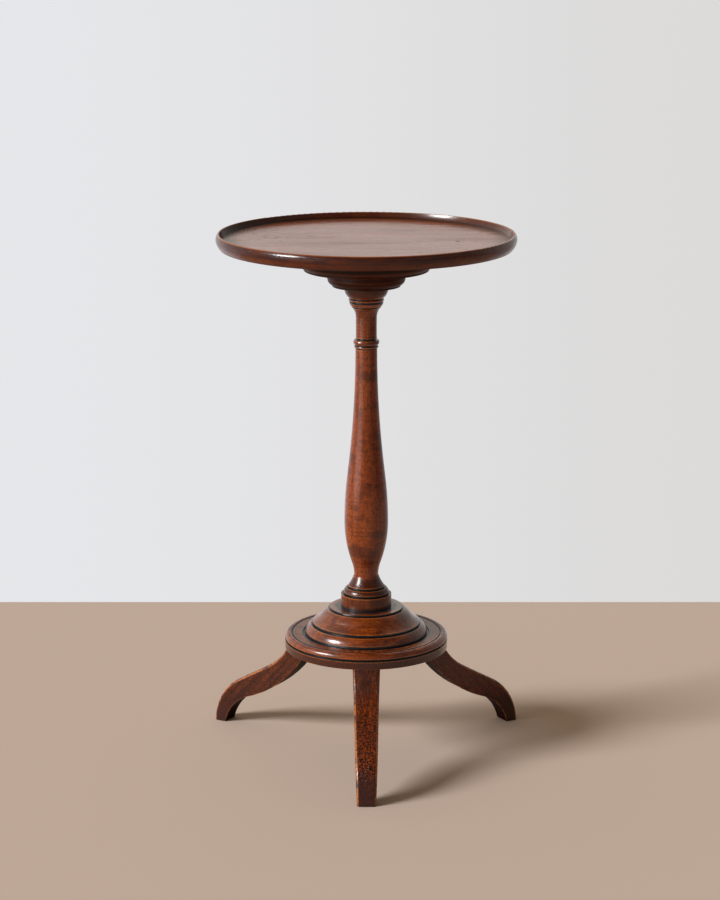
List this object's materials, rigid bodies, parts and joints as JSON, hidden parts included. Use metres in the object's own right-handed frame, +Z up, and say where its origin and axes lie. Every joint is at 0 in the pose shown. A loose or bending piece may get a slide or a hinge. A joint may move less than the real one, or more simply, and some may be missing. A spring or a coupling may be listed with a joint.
{
  "type": "tripod table",
  "caption": "Round dished table top on a turned baluster column with a stepped round base and S-curved legs; holds drinks, a lamp or a small tray beside a chair.",
  "frame": {"origin": "on the floor, under the column's axis", "axes": "+Z up along the column's axis, -Y out along the front leg, +X to the right seen from the front"},
  "size_m": [0.4338, 0.4479, 0.7263],
  "materials": {
    "top_mahogany": "polished",
    "turned_mahogany": "polished, with blackened grooves",
    "leg_mahogany": "polished, worn along its edges",
    "inner_hardwood": "bare",
    "screw_steel": "dulled"
  },
  "bodies": {
    "root": {"table_top": "top_mahogany", "boss_plate": "turned_mahogany", "boss_collar": "turned_mahogany", "boss_screws": "screw_steel", "upper_wedge": "inner_hardwood", "column": "turned_mahogany", "lower_wedge": "inner_hardwood", "base_dome": "turned_mahogany", "dome_screws": "screw_steel", "base_plate": "turned_mahogany", "leg_front": "leg_mahogany", "leg_front_dowels": "inner_hardwood", "leg_rear_right": "leg_mahogany", "leg_rear_right_dowels": "inner_hardwood", "leg_rear_left": "leg_mahogany", "leg_rear_left_dowels": "inner_hardwood"}
  },
  "joints": []
}
